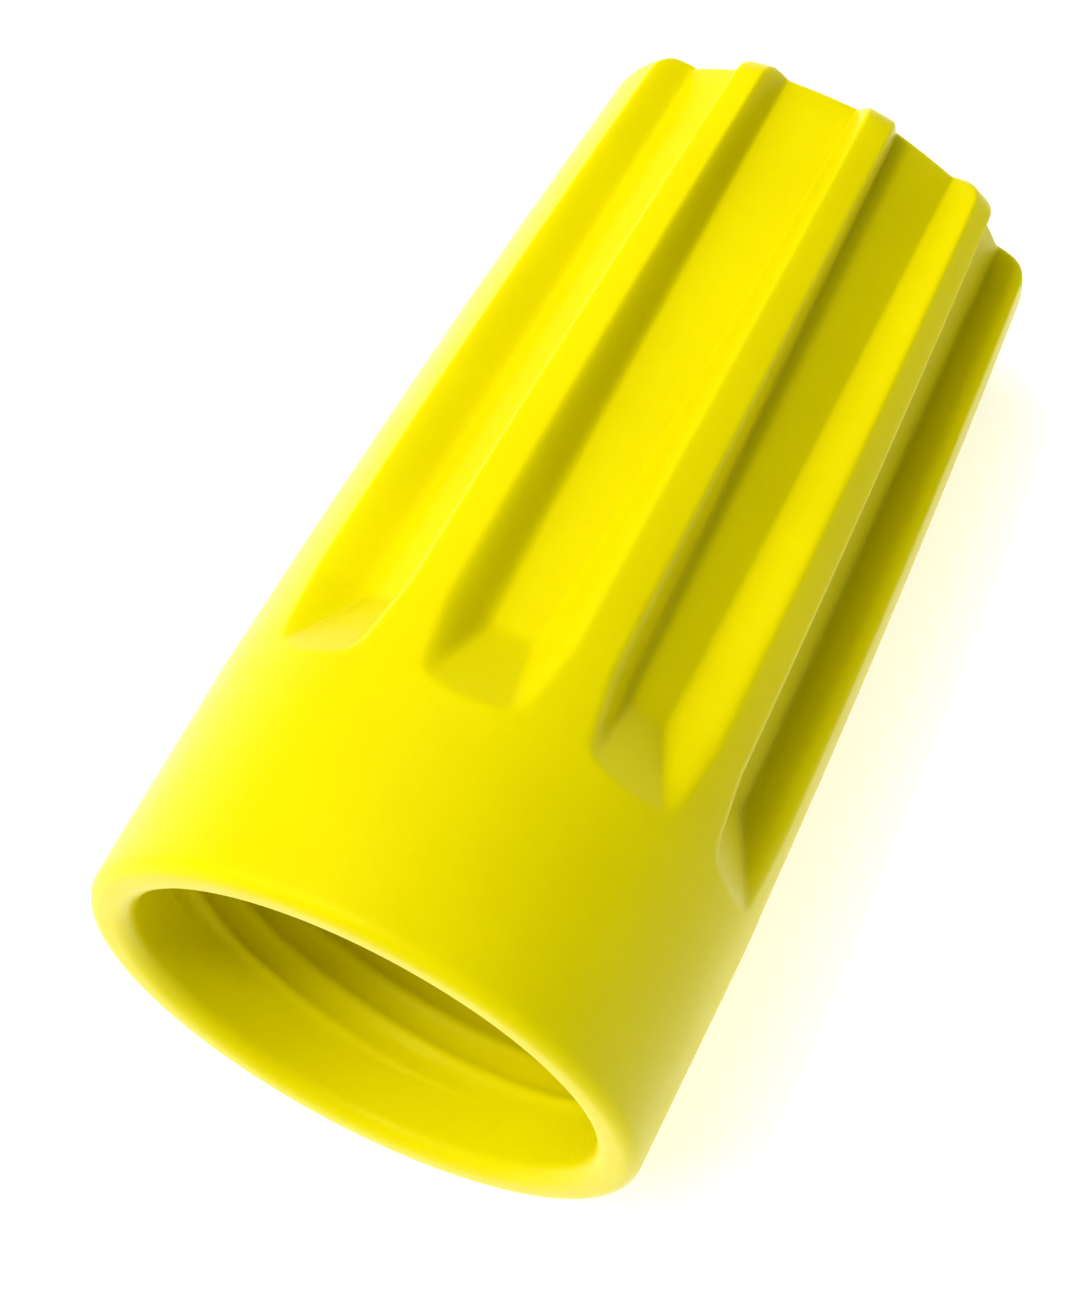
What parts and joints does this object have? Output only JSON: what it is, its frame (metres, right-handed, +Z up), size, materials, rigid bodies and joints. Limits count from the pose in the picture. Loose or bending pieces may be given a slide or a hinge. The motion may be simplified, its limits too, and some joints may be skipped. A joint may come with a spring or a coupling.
{
  "type": "twist-on wire connector",
  "caption": "Cone-shaped twist-on connector with a fluted plastic shell and a conical square-wire spring that grips and joins stripped wire ends.",
  "frame": {"origin": "centre of the bounding box at the surface that the connector lies on", "axes": "+Y towards the closed crown along the surface, mouth facing -Y, +Z up; the connector's own axis leans 5.1 degrees down towards the crown"},
  "size_m": [0.014, 0.0252, 0.0143],
  "materials": {
    "shell_plastic": "moulded polypropylene, bright yellow, semi-gloss with a fine moulded grain",
    "spring_wire": "drawn square steel wire, bright zinc plate"
  },
  "bodies": {
    "root": {"shell": "shell_plastic", "spring": "spring_wire"}
  },
  "joints": []
}
